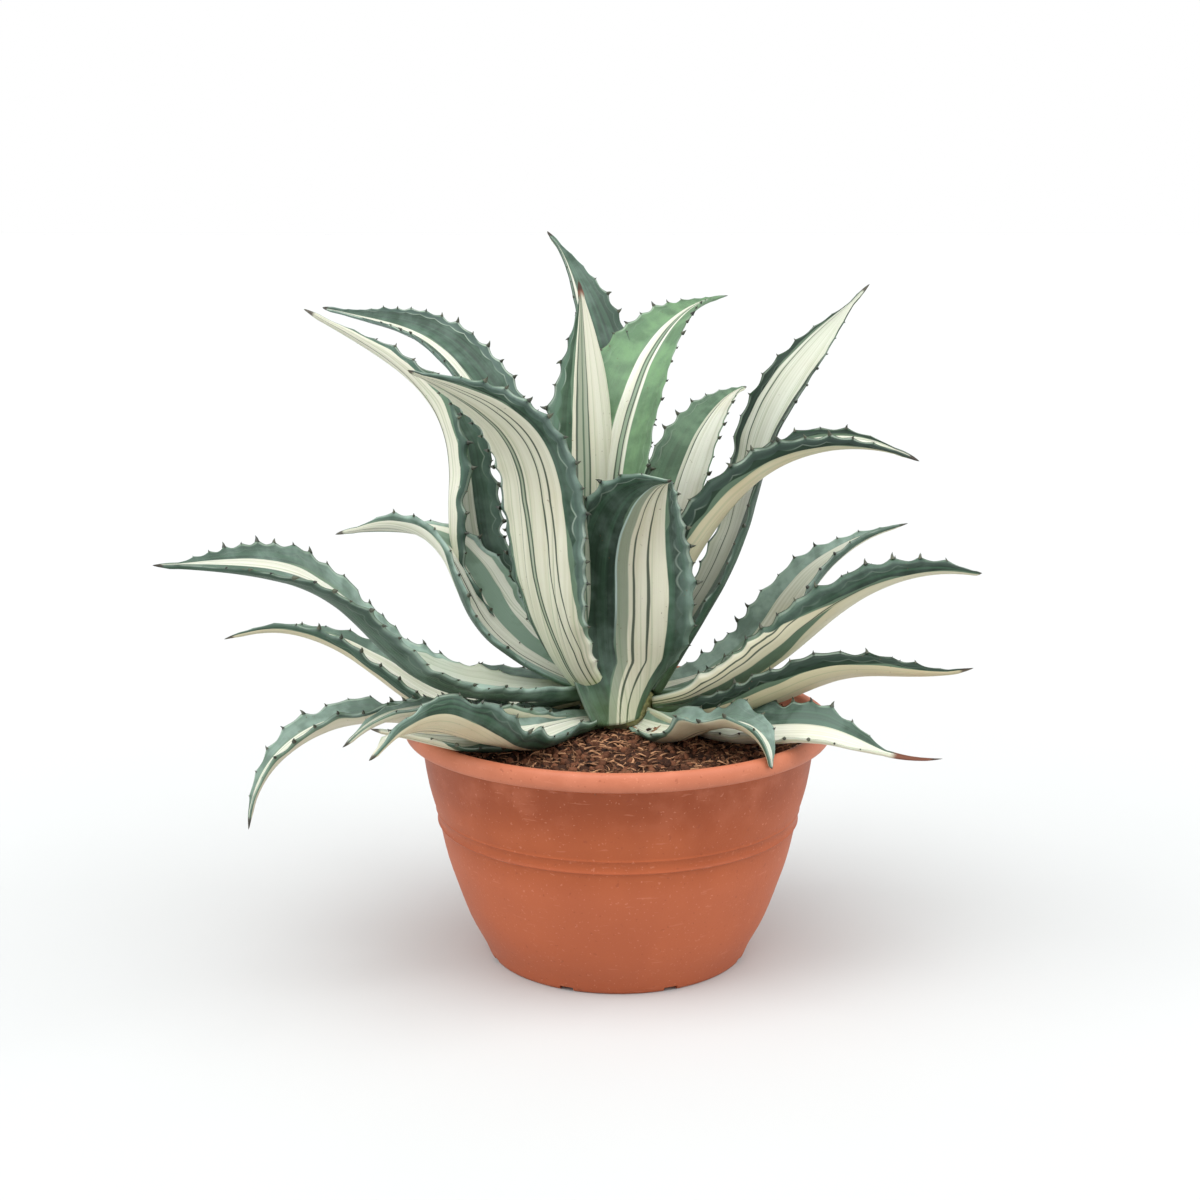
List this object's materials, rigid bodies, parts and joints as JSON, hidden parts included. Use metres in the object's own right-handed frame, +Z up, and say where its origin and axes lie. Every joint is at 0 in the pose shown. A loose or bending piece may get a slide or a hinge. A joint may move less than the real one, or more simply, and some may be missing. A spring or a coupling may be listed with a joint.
{
  "type": "potted century plant",
  "caption": "Rosette of long channelled, toothed leaves with a cream centre band and dark green margins, growing from coir soil in a terracotta-coloured bowl pot with a rolled rim.",
  "frame": {"origin": "centre of the flat underside of the pot", "axes": "+Z up along the pot's axis, -Y towards the viewer of the picture, +X to the viewer's right"},
  "size_m": [0.5248, 0.5182, 0.5043],
  "materials": {
    "pot": "satin moulded terracotta colour",
    "soil": "rough coir fibre and peat",
    "stem": "pale matt plant tissue",
    "leaf": "waxy satin leaf, cream centre band between blue-green margins"
  },
  "bodies": {
    "root": {"pot": "pot", "soil": "soil", "stem": "stem", "leaf_front_left_under": "leaf", "leaf_rim_left": "leaf", "leaf_left_drooping": "leaf", "leaf_front_left_wavy": "leaf", "leaf_front_right_wavy": "leaf", "leaf_rim_right": "leaf", "leaf_right_low": "leaf", "leaf_back_low_left": "leaf", "leaf_back_low_right": "leaf", "leaf_back_low_middle": "leaf", "leaf_left_low": "leaf", "leaf_left_long": "leaf", "leaf_right_long": "leaf", "leaf_right_middle": "leaf", "leaf_left_small": "leaf", "leaf_back_right": "leaf", "leaf_back_left": "leaf", "leaf_front_centre": "leaf", "leaf_front_left_broad": "leaf", "leaf_left_high": "leaf", "leaf_right_high": "leaf", "leaf_right_arched": "leaf", "leaf_right_inner": "leaf", "leaf_left_high_back": "leaf", "leaf_centre_spear": "leaf", "leaf_back_top": "leaf", "leaf_right_upper": "leaf"}
  },
  "joints": []
}
